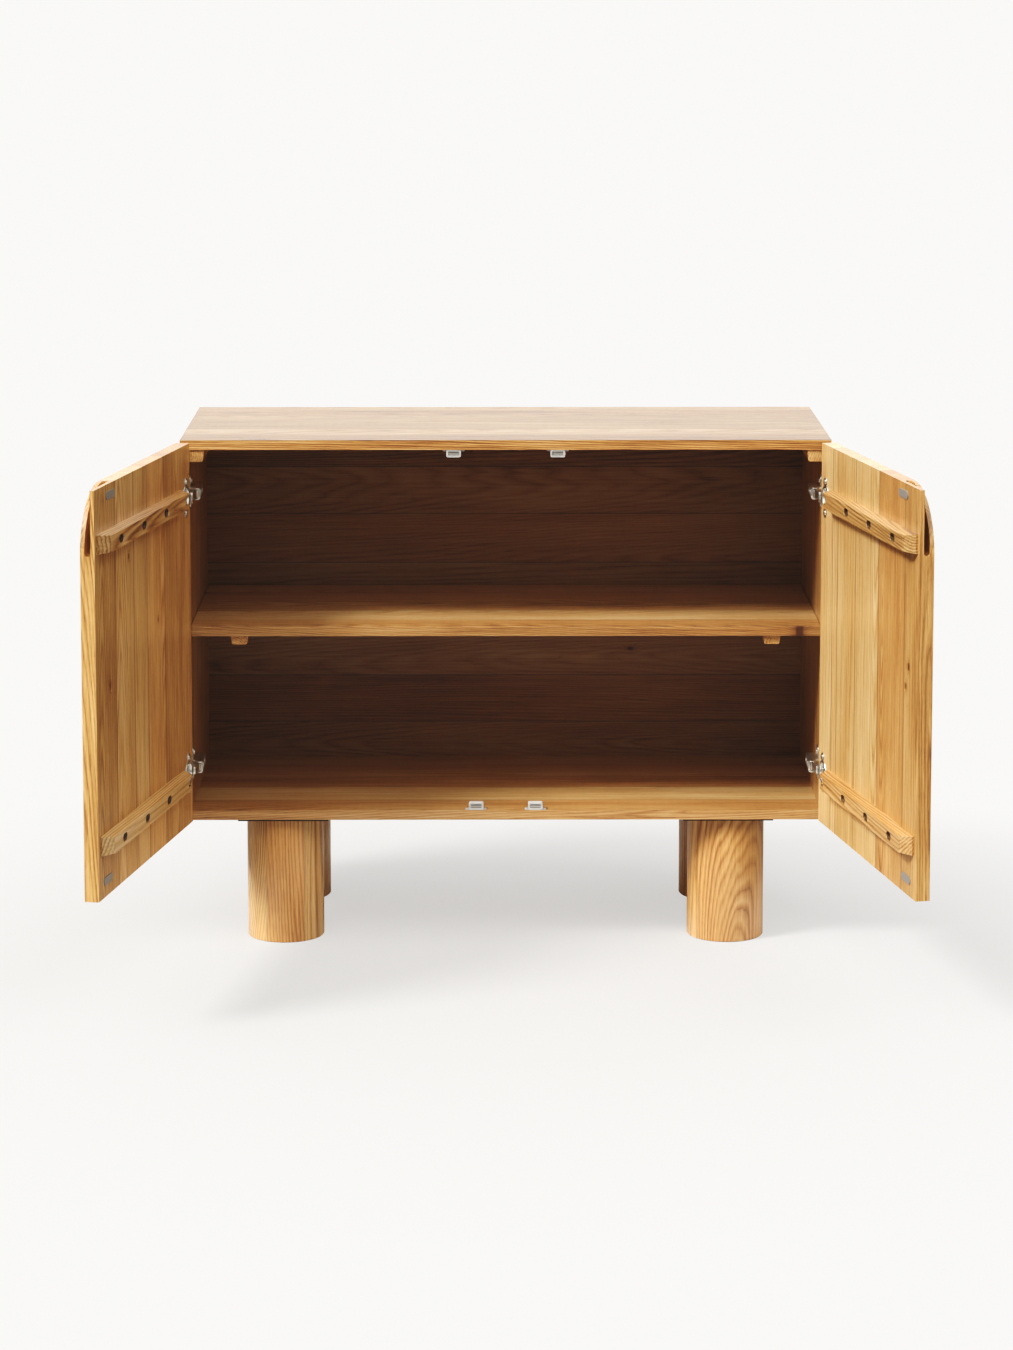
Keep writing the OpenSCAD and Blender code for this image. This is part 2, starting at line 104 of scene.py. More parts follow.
def makeOakGroup():
    # A block of oak: x across the board, y along the grain and z through it, all in mm.
    # Growth rings are cylinders round a tilted pith, r = sqrt((x-x0-m y)^2 + (z+z0+n y)^2), warped by slow noise.
    group = bpy.data.node_groups.new("oakBlock", "ShaderNodeTree")
    for name, kind in (("Point", "NodeSocketVector"), ("Board", "NodeSocketFloat"), ("Knot", "NodeSocketFloat"),
                       ("Rings", "NodeSocketFloat"), ("Spacing", "NodeSocketFloat"), ("Streaks", "NodeSocketFloat"),
                       ("Pith", "NodeSocketVector"), ("Figured", "NodeSocketFloat")):
        group.interface.new_socket(name, in_out="INPUT", socket_type=kind)
    for name, kind in (("Colour", "NodeSocketColor"), ("Height", "NodeSocketFloat"), ("Rough", "NodeSocketFloat")):
        group.interface.new_socket(name, in_out="OUTPUT", socket_type=kind)
    entry = put(group, "NodeGroupInput")
    leave = put(group, "NodeGroupOutput")
    point, board, knot = entry.outputs["Point"], entry.outputs["Board"], entry.outputs["Knot"]
    rings, spacing = entry.outputs["Rings"], entry.outputs["Spacing"]
    dice = put(group, "ShaderNodeTexWhiteNoise", {"noise_dimensions": "1D"}, {"W": board})
    parts = put(group, "ShaderNodeSeparateColor", None, {0: dice.outputs["Color"]})
    jump = put(group, "ShaderNodeVectorMath", {"operation": "SCALE"},
               {0: dice.outputs["Color"], "Scale": 9000.0})
    place = put(group, "ShaderNodeVectorMath", {"operation": "ADD"}, {0: point, 1: jump.outputs[0]})

    def noise(stretch, detail, rough=0.5):
        # Noise sampled at the point times a stretch in cycles per mm.
        scaled = put(group, "ShaderNodeVectorMath", {"operation": "MULTIPLY"},
                     {0: place.outputs[0], 1: stretch})
        return put(group, "ShaderNodeTexNoise", {"noise_dimensions": "3D"},
                   {"Vector": scaled.outputs[0], "Scale": 1.0, "Detail": detail, "Roughness": rough}).outputs[0]

    warp = noise((0.011, 0.0016, 0.011), 2.0)
    axes = put(group, "ShaderNodeSeparateXYZ", None, {0: point})
    tilt = chain(group, [("SUBTRACT", 0.5), ("MULTIPLY", 0.05)], parts.outputs[1])
    lean = chain(group, [("MULTIPLY", axes.outputs[1])], tilt)
    lot = put(group, "ShaderNodeCombineXYZ", None, {
        0: chain(group, [("SUBTRACT", 0.5), ("MULTIPLY", 130.0)], parts.outputs[2]),
        1: chain(group, [("MULTIPLY", 62.0), ("ADD", 16.0)], parts.outputs[1]),
        2: chain(group, [("SUBTRACT", 0.5), ("MULTIPLY", 0.13)], parts.outputs[0])})
    chosen = put(group, "ShaderNodeMix", {"data_type": "VECTOR"},
                 {0: entry.outputs["Figured"], 4: lot.outputs[0], 5: entry.outputs["Pith"]})
    pithX, pithZ, slope = put(group, "ShaderNodeSeparateXYZ", None, {0: chosen.outputs[1]}).outputs
    bend = chain(group, [("SUBTRACT", 0.5), ("MULTIPLY", 34.0)], warp)
    acrossPith = chain(group, [("SUBTRACT", pithX), ("SUBTRACT", lean), ("ADD", bend), ("POWER", 2.0)],
                       chain(group, [("ADD", 0.0)], axes.outputs[0]))
    dive = chain(group, [("MULTIPLY", axes.outputs[1])], slope)
    throughPith = chain(group, [("ADD", pithZ), ("ADD", dive), ("POWER", 2.0)],
                        chain(group, [("ADD", 0.0)], axes.outputs[2]))
    radius = chain(group, [("ADD", throughPith), ("SQRT", None)], acrossPith)
    wander = chain(group, [("SUBTRACT", 0.5), ("MULTIPLY", 9.0)], noise((0.035, 0.003, 0.035), 3.0))
    pull = chain(group, [("MULTIPLY", 11.0)], knot)
    phase = chain(group, [("ADD", wander), ("ADD", pull), ("DIVIDE", spacing)], radius)
    saw = chain(group, [("FRACT", None)], phase)
    ringShape = fillRamp(put(group, "ShaderNodeValToRGB", None, {0: saw}),
                         [(0.0, "#202020"), (0.10, "#6a6a6a"), (0.42, "#e0e0e0"), (0.80, "#b0b0b0"), (1.0, "#202020")])
    ringId = chain(group, [("FLOOR", None), ("ADD", board)], phase)
    ringDice = put(group, "ShaderNodeTexWhiteNoise", {"noise_dimensions": "1D"}, {"W": ringId})
    ringGain = chain(group, [("MULTIPLY", 0.8), ("ADD", 0.35)], ringDice.outputs[0])
    ring = chain(group, [("SUBTRACT", 0.5), ("MULTIPLY", ringGain), ("MULTIPLY", rings)],
                 ringShape.outputs[0])
    streak = chain(group, [("SUBTRACT", 0.5), ("MULTIPLY", oakLook["streakContrast"] * 2),
                           ("MULTIPLY", entry.outputs["Streaks"])],
                   noise((0.26, 0.0045, 0.26), 4.0, 0.68))
    fibreNoise = noise((1.5, 0.035, 1.5), 3.0, 0.6)
    fibre = chain(group, [("SUBTRACT", 0.5), ("MULTIPLY", oakLook["fibreContrast"] * 2)], fibreNoise)
    patch = chain(group, [("SUBTRACT", 0.5), ("MULTIPLY", oakLook["patchContrast"] * 2)],
                  noise((0.02, 0.0028, 0.02), 2.0))
    boardTone = chain(group, [("SUBTRACT", 0.5), ("MULTIPLY", oakLook["boardContrast"])], parts.outputs[1])
    poreNoise = noise((2.3, 0.075, 2.3), 1.0)
    early = chain(group, [("MULTIPLY", -1.0), ("ADD", 1.0)], ringShape.outputs[0])
    pore = chain(group, [("SUBTRACT", 0.56), ("MULTIPLY", 9.0), ("MAXIMUM", 0.0), ("MINIMUM", 1.0)], poreNoise)
    pore = chain(group, [("MULTIPLY", chain(group, [("MULTIPLY", 0.7), ("ADD", 0.3)], early))], pore)
    tone = chain(group, [("ADD", streak), ("ADD", fibre), ("ADD", patch), ("ADD", boardTone), ("ADD", 0.56)], ring)
    tone = chain(group, [("SUBTRACT", chain(group, [("MULTIPLY", 0.16)], pore)),
                         ("SUBTRACT", chain(group, [("MULTIPLY", 0.30)], knot))], tone)
    colours = fillRamp(put(group, "ShaderNodeValToRGB", None, {0: tone}), oakLook["colours"])
    warm = put(group, "ShaderNodeMix", {"data_type": "RGBA", "blend_type": "MULTIPLY"},
               {0: 1.0, 6: colours.outputs[0]})
    hue = fillRamp(put(group, "ShaderNodeValToRGB", None, {0: parts.outputs[2]}),
                   [(0.0, "#fff2e6"), (0.5, "#fffaf4"), (1.0, "#fbfdfa")])
    group.links.new(hue.outputs[0], warm.inputs[7])
    core = chain(group, [("SUBTRACT", 0.72), ("MULTIPLY", 5.0), ("MAXIMUM", 0.0), ("MINIMUM", 0.85)], knot)
    knotted = put(group, "ShaderNodeMix", {"data_type": "RGBA"},
                  {0: core, 6: warm.outputs[2], 7: linearColour(oakLook["knotColour"])})
    height = chain(group, [("MULTIPLY", 0.25), ("ADD", chain(group, [("MULTIPLY", 0.12)], ringShape.outputs[0])),
                           ("SUBTRACT", pore)], fibreNoise)
    rough = chain(group, [("MULTIPLY", 0.16), ("ADD", 0.33), ("ADD", chain(group, [("MULTIPLY", 0.14)], pore))],
                  fibreNoise)
    group.links.new(knotted.outputs[2], leave.inputs["Colour"])
    group.links.new(height, leave.inputs["Height"])
    group.links.new(rough, leave.inputs["Rough"])
    return group


oakGroup = makeOakGroup()


def makeOak(name, origin, across, along, through, seamsMm=(), seed=0.0, knotsMm=(), paintedLightGain=1.0,
            rings=0.42, spacing=3.6, pocketShadeMm=None, coat=None, seamDepth=0.6, seamMm=1.5,
            paintedFaceShade=None, streaks=1.0, figure=None,
            paintedEdgeLight=None):
    # Oiled solid oak in glued boards. The point is (P - origin) turned into the board's own axes, in mm;
    # the board number counts the seams passed, and each seam is a fine dark line.
    material = bpy.data.materials.new(name)
    material.use_nodes = True
    tree = material.node_tree
    tree.nodes.clear()
    coords = put(tree, "ShaderNodeTexCoord")
    shifted = put(tree, "ShaderNodeVectorMath", {"operation": "SUBTRACT"},
                  {0: coords.outputs["Object"], 1: tuple(origin)})
    sockets = [put(tree, "ShaderNodeVectorMath", {"operation": "DOT_PRODUCT"},
                   {0: shifted.outputs[0], 1: tuple(1000 * c for c in axis)}).outputs["Value"]
               for axis in (across, along, through)]
    count, gap, middle = None, None, None
    edges = [0.0, *seamsMm, seamsMm[-1] + 80.0] if seamsMm else [0.0, 0.0]
    for index, seam in enumerate(seamsMm):
        step = chain(tree, [("GREATER_THAN", seam)], sockets[0])
        count = step if count is None else chain(tree, [("ADD", step)], count)
        move = chain(tree, [("MULTIPLY", (edges[index + 2] - edges[index]) / 2)], step)
        middle = chain(tree, [("ADD", edges[1] / 2 if middle is None else middle)], move)
        away = chain(tree, [("SUBTRACT", seam), ("ABSOLUTE", None)], sockets[0])
        gap = away if gap is None else chain(tree, [("MINIMUM", away)], gap)
    board = seed if count is None else chain(tree, [("MULTIPLY", 3.7), ("ADD", seed)], count)
    knot = 0.0
    for x, y, size in knotsMm:
        dx = chain(tree, [("SUBTRACT", x), ("DIVIDE", size), ("POWER", 2.0)], chain(tree, [("ADD", 0.0)], sockets[0]))
        dy = chain(tree, [("SUBTRACT", y), ("DIVIDE", size * 1.7), ("POWER", 2.0)], sockets[1])
        bump = chain(tree, [("ADD", dy), ("MULTIPLY", -0.5), ("EXPONENT", None)], dx)
        knot = bump if isinstance(knot, float) else chain(tree, [("MAXIMUM", bump)], knot)
    fromMiddle = sockets[0] if middle is None else chain(tree, [("SUBTRACT", middle)], sockets[0])
    point = put(tree, "ShaderNodeCombineXYZ", None, {0: fromMiddle, 1: sockets[1], 2: sockets[2]})
    pith, figured = (0, 0, 0), 0.0
    if figure:
        fromX, toX, *pith = figure
        figured = chain(tree, [("GREATER_THAN", fromX),
                               ("MULTIPLY", chain(tree, [("LESS_THAN", toX)], sockets[0]))], sockets[0])
    block = put(tree, "ShaderNodeGroup", {"node_tree": oakGroup},
                {"Point": point.outputs[0], "Board": board, "Knot": knot, "Rings": rings, "Spacing": spacing,
                 "Streaks": streaks, "Pith": pith, "Figured": figured})
    colour, height = block.outputs["Colour"], block.outputs["Height"]
    if gap is not None:
        line = chain(tree, [("DIVIDE", seamMm), ("MINIMUM", 1.0)], gap)
        darkness = chain(tree, [("MULTIPLY", seamDepth), ("ADD", 1 - seamDepth)], line)
        joined = put(tree, "ShaderNodeVectorMath", {"operation": "SCALE"}, {0: colour, "Scale": darkness})
        colour = joined.outputs[0]
        height = chain(tree, [("ADD", chain(tree, [("MULTIPLY", 2.0)], line))], height)
    # Painted shade: inside the screw pockets of the door battens, the colour drops to 0.28, standing in for the shade
    # in the holes.
    if pocketShadeMm:
        mid, half, top, start, end = pocketShadeMm
        inside = chain(tree, [("SUBTRACT", mid), ("ABSOLUTE", None), ("LESS_THAN", half)],
                       chain(tree, [("ADD", 0.0)], sockets[0]))
        inside = chain(tree, [("MULTIPLY", chain(tree, [("LESS_THAN", top)], sockets[2])),
                              ("MULTIPLY", chain(tree, [("GREATER_THAN", start)], sockets[1])),
                              ("MULTIPLY", chain(tree, [("LESS_THAN", end)], sockets[1]))], inside)
        paintedPocketShade = chain(tree, [("MULTIPLY", -0.72), ("ADD", 1.0)], inside)
        colour = put(tree, "ShaderNodeVectorMath", {"operation": "SCALE"}, {0: colour, "Scale": paintedPocketShade}).outputs[0]
    # Painted shade: past the given depth through the board, the colour is scaled by the gain. This darkens the top face
    # of the top panel for how the light falls on it.
    if paintedFaceShade:
        level, gain = paintedFaceShade
        paintedShadeOnFace = chain(tree, [("GREATER_THAN", level), ("MULTIPLY", gain - 1), ("ADD", 1.0)], sockets[2])
        colour = put(tree, "ShaderNodeVectorMath", {"operation": "SCALE"}, {0: colour, "Scale": paintedShadeOnFace}).outputs[0]
    # Painted light: past the given distance across the board, the colour is scaled up, so the doors' free edges look
    # lit from the front.
    if paintedEdgeLight:
        level, gain = paintedEdgeLight
        paintedLightOnEdge = chain(tree, [("GREATER_THAN", level), ("MULTIPLY", gain - 1), ("ADD", 1.0)], sockets[0])
        colour = put(tree, "ShaderNodeVectorMath", {"operation": "SCALE"}, {0: colour, "Scale": paintedLightOnEdge}).outputs[0]
    # Painted light and shade: one gain on the whole colour. Below 1 it darkens the inner panels and battens as painted
    # shade; above 1 it brightens the legs and the top panel's edges as painted light.
    if paintedLightGain != 1.0:
        colour = put(tree, "ShaderNodeVectorMath", {"operation": "SCALE"}, {0: colour, "Scale": paintedLightGain}).outputs[0]
    relief = put(tree, "ShaderNodeBump", None,
                 {"Height": height, "Strength": 0.6, "Distance": oakLook["poreDepthMm"] / 1000})
    surface = put(tree, "ShaderNodeBsdfPrincipled", None,
                  {"Base Color": colour, "Roughness": block.outputs["Rough"], "Normal": relief.outputs[0],
                   "IOR": 1.5, "Specular IOR Level": 0.5, "Coat Weight": coat or oakLook["coat"],
                   "Coat Roughness": 0.26, "Coat IOR": 1.5})
    put(tree, "ShaderNodeOutputMaterial", None, {"Surface": surface.outputs[0]})
    return material


def makeMetal(name, colour, rough, metallic=1.0, grainMm=0.4, bumpMm=0.01):
    # Plated or coated metal: a flat tone with slow smudges in its roughness and a fine grain.
    material = bpy.data.materials.new(name)
    material.use_nodes = True
    tree = material.node_tree
    tree.nodes.clear()
    coords = put(tree, "ShaderNodeTexCoord")
    smudge = put(tree, "ShaderNodeTexNoise", None, {"Vector": coords.outputs["Object"], "Scale": 180.0, "Detail": 3.0})
    fine = put(tree, "ShaderNodeTexNoise", None,
               {"Vector": coords.outputs["Object"], "Scale": 1000 / grainMm, "Detail": 2.0})
    value = chain(tree, [("SUBTRACT", 0.5), ("MULTIPLY", 0.25), ("ADD", rough)], smudge.outputs[0])
    tint = chain(tree, [("MULTIPLY", 0.16), ("ADD", 0.92)], smudge.outputs[0])
    shown = put(tree, "ShaderNodeVectorMath", {"operation": "SCALE"}, {0: linearColour(colour)[:3], "Scale": tint})
    relief = put(tree, "ShaderNodeBump", None,
                 {"Height": fine.outputs[0], "Strength": 0.5, "Distance": bumpMm / 1000})
    surface = put(tree, "ShaderNodeBsdfPrincipled", None,
                  {"Base Color": shown.outputs[0], "Roughness": value, "Normal": relief.outputs[0],
                   "Metallic": metallic})
    put(tree, "ShaderNodeOutputMaterial", None, {"Surface": surface.outputs[0]})
    return material


nickelSteel = makeMetal("nickelPlatedSteel", "#dddad2", 0.32)
zincSteel = makeMetal("matteZincPlatedSteel", "#98928a", 0.5, 0.25)
blackSteel = makeMetal("blackPowderCoatedSteel", "#030303", 0.8, 0.0, 0.6, 0.03)
greyPlastic = makeMetal("paleGreyPlastic", "#c9c8c3", 0.42, 0.0, 0.8, 0.02)
print("stage: shared materials made")

# ---- wood pieces: the CAD nodes with rounded arrises and their own board layout ----

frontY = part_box("top_panel")[0].y
openAngle = math.radians(101)
doorTurn = {side: Vector((-side * math.cos(openAngle), -math.sin(openAngle), 0)) for side in (-1, 1)}
doorFace = {side: Vector((-side * math.sin(openAngle), math.cos(openAngle), 0)) for side in (-1, 1)}
roundedCorner = {"boardMm": 1.1, "smallMm": 0.5, "segments": 3}


def arrises(obj, widthMm, segments=2, angle=42):
    # Welds the imported corners and rounds every edge sharper than the angle.
    weld = obj.modifiers.new("weld", "WELD")
    weld.merge_threshold = 0.00001
    bevel = obj.modifiers.new("arris", "BEVEL")
    bevel.width = widthMm / 1000
    bevel.segments = segments
    bevel.limit_method = "ANGLE"
    bevel.angle_limit = math.radians(angle)
    bevel.use_clamp_overlap = True
    bevel.harden_normals = True
    bevel.miter_outer = "MITER_ARC"


def dress(nodeName, material, widthMm, segments=2, angle=42):
    # Gives a CAD node its finish and rounded arrises.
    obj = frame["nodes"][nodeName]
    obj.data.materials.clear()
    obj.data.materials.append(material)
    if widthMm > 0:
        arrises(obj, widthMm, segments, angle)
    return obj


xAxis, yAxis, zAxis = (1, 0, 0), (0, 1, 0), (0, 0, 1)
# The look gains here are painted light. The inner panels, shelf and bottom are darkened as painted shade of the
# cabinet's inside, and the top panel is brightened on its edges and darkened on its top face.
carcassBoards = {
    "top_panel": {"axes": (yAxis, xAxis, zAxis), "seams": (62, 131, 214, 290, 351), "seed": 3.1, "knots": (),
                  "look": {"coat": 0.6, "rings": 0.6, "paintedLightGain": 1.12, "paintedFaceShade": (14.7, 0.47), "streaks": 1.7}},
    "bottom_panel": {"axes": (yAxis, xAxis, zAxis), "seams": (71, 160, 233, 318), "seed": 11.4, "knots": (), "look": {"paintedLightGain": 0.8}},
    "shelf": {"axes": (yAxis, xAxis, zAxis), "seams": (58, 139, 221, 300), "seed": 21.9, "knots": ((0, 942, 5),), "look": {"paintedLightGain": 0.74}},
    "back_panel": {"axes": (zAxis, xAxis, yAxis), "seams": (64, 142, 228, 251, 330, 411, 489), "seed": 31.3,
                   "knots": ((520, 430, 4), (186, 700, 4)), "look": {"paintedLightGain": 0.56}},
    "side_panel_left": {"axes": (yAxis, zAxis, xAxis), "seams": (66, 148, 229, 311), "seed": 41.7, "knots": (),
                        "look": {"paintedLightGain": 0.72}},
    "side_panel_right": {"axes": (yAxis, zAxis, xAxis), "seams": (81, 155, 240, 322), "seed": 52.2, "knots": (),
                         "look": {"paintedLightGain": 0.72}},
    "top_batten_left": {"axes": (zAxis, yAxis, xAxis), "seams": (), "seed": 61.0, "knots": ()},
    "top_batten_right": {"axes": (zAxis, yAxis, xAxis), "seams": (), "seed": 63.5, "knots": ()},
    "shelf_batten_left": {"axes": (xAxis, yAxis, zAxis), "seams": (), "seed": 66.2, "knots": ()},
    "shelf_batten_right": {"axes": (xAxis, yAxis, zAxis), "seams": (), "seed": 68.9, "knots": ()},
}
for nodeName, plan in carcassBoards.items():
    oak = makeOak("oiledOak_" + nodeName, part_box(nodeName)[0], *plan["axes"], seamsMm=plan["seams"],
                  seed=plan["seed"], knotsMm=plan["knots"], **plan.get("look", {}))
    dress(nodeName, oak, roundedCorner["boardMm"] if "panel" in nodeName or nodeName == "shelf" else 0.8,
          roundedCorner["segments"])

doorCorner = {}
doorBoards = {
    -1: {"seams": (144, 236, 306, 398), "seed": 71.3, "knots": ((330, 470, 4), (430, 300, 4), (180, 350, 3))},
    1: {"seams": (63, 90, 185, 302, 429), "seed": 84.6, "knots": ((452, 330, 5), (440, 300, 4), (120, 510, 3))},
}
for side, hand in ((-1, "left"), (1, "right")):
    joint = next(j for j in frame["joints"] if j["name"] == hand + "_door_hinge")
    pivot = Vector(joint["pos_m"])
    corner = pivot + doorTurn[side] * -0.0024 + doorFace[side] * 0.012  # hinge edge of the inner face
    corner.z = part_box(hand + "_door_panel")[0].z
    doorCorner[side] = corner
    plan = doorBoards[side]
    # The doors' free edges get painted light, 1.4 times brighter.
    oak = makeOak("oiledOak_" + hand + "_door", corner, doorTurn[side], zAxis, doorFace[side],
                  seamsMm=plan["seams"], seed=plan["seed"], knotsMm=plan["knots"], rings=0.55, seamMm=3.0,
                  paintedEdgeLight=(497.2, 1.4))
    dress(hand + "_door_panel", oak, roundedCorner["boardMm"], roundedCorner["segments"])
    gripBoard = dress(hand + "_door_grip_board", oak, roundedCorner["boardMm"], roundedCorner["segments"])
    gripBoard.modifiers["arris"].harden_normals = False
    even = gripBoard.modifiers.new("even", "WEIGHTED_NORMAL")  # keeps the broad faces flat beside the grip
    even.mode = "FACE_AREA_WITH_ANGLE"
    for level in ("upper", "lower"):
        nodeName = f"{hand}_door_batten_{level}"
        start = Vector(corner)
        start.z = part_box(nodeName)[0].z
        # The battens get painted shade in their screw pockets and a painted-shade gain of 0.9.
        oak = makeOak("oiledOak_" + nodeName, start, zAxis, doorTurn[side], doorFace[side],
                      seed=91.0 + side * 3 + (5 if level == "upper" else 0), rings=0.8, spacing=4.0,
                      pocketShadeMm=(14, 8, 17.2, 67, 474), paintedLightGain=0.9)
        dress(nodeName, oak, 0.7, 2)

# The legs' gains are painted light that brightens them.
legStaves = {
    "front_left": {"seams": (33, 92), "seed": 108.3, "figure": (0, 33, -4, 4.5, 0.15), "paintedLightGain": 1.15},
    "front_right": {"seams": (14,), "seed": 141.9, "figure": (14, 120, 26, 48, -0.17), "paintedLightGain": 1.02},
    "rear_left": {"seams": (44, 85), "seed": 115.6, "figure": None, "paintedLightGain": 1.1},
    "rear_right": {"seams": (30, 90), "seed": 122.9, "figure": None, "paintedLightGain": 1.1},
}
for place, staves in legStaves.items():
    low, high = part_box("leg_" + place)
    middle = (low + high) / 2
    oak = makeOak("oiledOak_leg_" + place, (low.x, middle.y, low.z), xAxis, zAxis, yAxis,
                  seamsMm=staves["seams"], seed=staves["seed"], rings=0.6, spacing=4.6, seamDepth=0.25,
                  paintedLightGain=staves["paintedLightGain"], streaks=0.45, figure=staves["figure"])
    dress("leg_" + place, oak, 0.8, 2, 30)
    dress("leg_plate_" + place, blackSteel, 0.3, 2)
print("stage: wood dressed")

# ---- metal and plastic ----


def outlinePoints(halfWide, halfHigh, corner, perCorner=6):
    # Rounded rectangle: (+-(a - r) + r cos t, +-(b - r) + r sin t), each corner's t over its quarter turn.
    turn = np.linspace(0, math.pi / 2, perCorner)
    quarters = [turn + k * math.pi / 2 for k in range(4)]
    signs = ((1, 1), (-1, 1), (-1, -1), (1, -1))
    return np.concatenate([np.stack([sx * (halfWide - corner) + corner * np.cos(t),
                                     sy * (halfHigh - corner) + corner * np.sin(t)], axis=1)
                           for (sx, sy), t in zip(signs, quarters)])


def ringQuads(rows, columns, closedRows=False):
    # Quads joining each ring to the next; the columns close round, and so may the rows.
    row = np.arange(rows if closedRows else rows - 1)[:, None]
    column = np.arange(columns)[None, :]
    after = (column + 1) % columns
    below = (row + 1) % rows
    quads = np.stack([row * columns + column, row * columns + after, below * columns + after,
                      below * columns + column], axis=-1)
    return quads.reshape(-1, 4).tolist()


def slab(halfWide, halfHigh, corner, low, high, edge, centre=(0, 0)):
    # A plate with rounded corners and edges: the outline drawn in by e (1 - sin t) at height e (1 - cos t).
    turn = np.linspace(0, math.pi / 2, 4)
    inset = np.concatenate([edge * (1 - np.sin(turn)), edge * (1 - np.sin(turn[::-1]))])
    height = np.concatenate([low + edge * (1 - np.cos(turn)), high - edge * (1 - np.cos(turn[::-1]))])
    rings = []
    for drawn, level in zip(inset, height):
        flat = outlinePoints(halfWide - drawn, halfHigh - drawn, max(corner - drawn, 0.1)) + centre
        rings.append(np.column_stack([flat, np.full(len(flat), level)]))
    columns = len(rings[0])
    count = len(rings)
    faces = ringQuads(count, columns)
    faces += [list(range(columns))[::-1], [(count - 1) * columns + k for k in range(columns)]]
    return np.concatenate(rings), faces


def frameRing(outer, inner, low, high):
    # A bezel: outer and inner rounded rectangles joined at both levels.
    rings = []
    for (halfWide, halfHigh, corner), level in ((outer, low), (outer, high), (inner, high), (inner, low)):
        flat = outlinePoints(halfWide, halfHigh, corner)
        rings.append(np.column_stack([flat, np.full(len(flat), level)]))
    return np.concatenate(rings), ringQuads(4, len(rings[0]), True)


def turned(profile, centre=(0, 0), steps=48):
    # A closed profile (r, h) turned round the height axis: (r cos t, r sin t, h).
    profile = np.array(profile, dtype=float)
    angle = np.arange(steps) * 2 * math.pi / steps
    points = np.stack([profile[:, :1] * np.cos(angle) + centre[0], profile[:, :1] * np.sin(angle) + centre[1],
                       np.repeat(profile[:, 1:], steps, axis=1)], axis=-1)
    return points.reshape(-1, 3), ringQuads(len(profile), steps, True)


def channel(halfWide, depth, wall, bend, start, end):
    # A folded U channel: its outline has round bends of radius b outside and b - wall inside, drawn along its length.
    turn = np.linspace(0, math.pi / 2, 6)

    def side(radius, reach, top):
        # One leg and its bend, from the open edge to the middle of the web.
        arc = np.stack([reach - radius + radius * np.cos(turn), top - radius + radius * np.sin(turn)], axis=1)
        return np.concatenate([[(reach, 0.0)], arc])

    outside = side(bend, halfWide, depth)
    inside = side(bend - wall, halfWide - wall, depth - wall)
    mirrored = np.array([-1.0, 1.0])
    loop = np.concatenate([outside, outside[::-1] * mirrored, inside * mirrored, inside[::-1]])
    rings = [np.column_stack([loop[:, 0], np.full(len(loop), y), loop[:, 1]]) for y in (start, end)]
    columns = len(loop)
    faces = ringQuads(2, columns)
    faces += [list(range(columns))[::-1], [columns + k for k in range(columns)]]
    return np.concatenate(rings), faces


def makePiece(name, parts, origin, axes, materials, body, nodeName, arrisMm=0.0):
    # Joins shells given in mm and puts them at P = origin + u U + v V + w W, with every shell facing outwards.
    vertices, faces, kinds, start = [], [], [], 0
    for (points, shellFaces), kind in parts:
        vertices.append(points)
        faces += [[start + k for k in face] for face in shellFaces]
        kinds += [kind] * len(shellFaces)
        start += len(points)
    placed = np.concatenate(vertices) / 1000 @ np.array([list(axis) for axis in axes]) + np.array(origin)
    mesh = bpy.data.meshes.new(name)
    mesh.from_pydata(placed.tolist(), [], faces)
    for material in materials:
        mesh.materials.append(material)
    mesh.polygons.foreach_set("material_index", kinds)
    work = bmesh.new()
    work.from_mesh(mesh)
    bmesh.ops.recalc_face_normals(work, faces=work.faces)
    work.to_mesh(mesh)
    work.free()
    mesh.shade_smooth()
    mesh.set_sharp_from_angle(angle=math.radians(35))
    obj = bpy.data.objects.new(name, mesh)
    bpy.context.scene.collection.objects.link(obj)
    if arrisMm:
        arrises(obj, arrisMm, 2, 50)
    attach(obj, body)
    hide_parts(nodeName)
    return obj


cupShape = {"radius": 17.5, "bore": 14.5, "depth": 12.0, "rim": 18.8, "flange": 1.2, "screwOut": 24.0, "inset": 22.5}


def makeHingeCup(hand, side, level, corner):
    # A pressed cup with a rolled rim, two screw wings and the tongue that holds the arm's link.
    nodeName = f"hinge_cup_{hand}_{level}"
    low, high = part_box(nodeName)
    c = cupShape
    lip = c["flange"]
    floorTop = 1.2 - c["depth"]
    profile = [(0.05, -c["depth"]), (c["radius"] - 1.6, -c["depth"]), (c["radius"] - 0.5, 0.5 - c["depth"]),
               (c["radius"], 1.6 - c["depth"]), (c["radius"], -0.4), (c["rim"] - 0.2, 0.0), (c["rim"], 0.5),
               (c["rim"] - 0.4, lip - 0.1), (c["rim"] - 1.2, lip), (c["bore"] + 1.4, lip), (c["bore"] + 0.4, lip - 0.3),
               (c["bore"], lip - 1.1), (c["bore"] - 0.1, floorTop + 2.2), (c["bore"] - 0.9, floorTop + 0.7),
               (c["bore"] - 2.6, floorTop), (0.05, floorTop)]
    parts = [(turned(profile, steps=64), 0)]
    for way in (-1, 1):
        parts.append((slab(7.0, 8.4, 6.8, 0.0, lip, 0.45, (0, way * (c["screwOut"] - 1.4))), 0))
        parts.append((turned([(1.8, lip - 0.2), (3.4, lip - 0.2), (3.4, lip + 0.15), (3.0, lip + 0.35), (2.2, lip + 0.3),
                              (1.8, lip)], (0, way * c["screwOut"]), 32), 0))
        parts.append((slab(0.8, 4.4, 0.7, floorTop - 0.2, -1.2, 0.3, (-7 + way * 2.2, 0)), 0))
    parts.append((slab(1.3, 4.4, 1.2, -3.2, -0.6, 0.5, (-7, 0)), 0))
    origin = Vector(corner) + doorTurn[side] * (c["inset"] / 1000)
    origin.z = (low.z + high.z) / 2
    makePiece(f"hingeCup_{hand}_{level}", parts, origin, (doorTurn[side], zAxis, doorFace[side]), [nickelSteel],
              hand + "_door", nodeName)


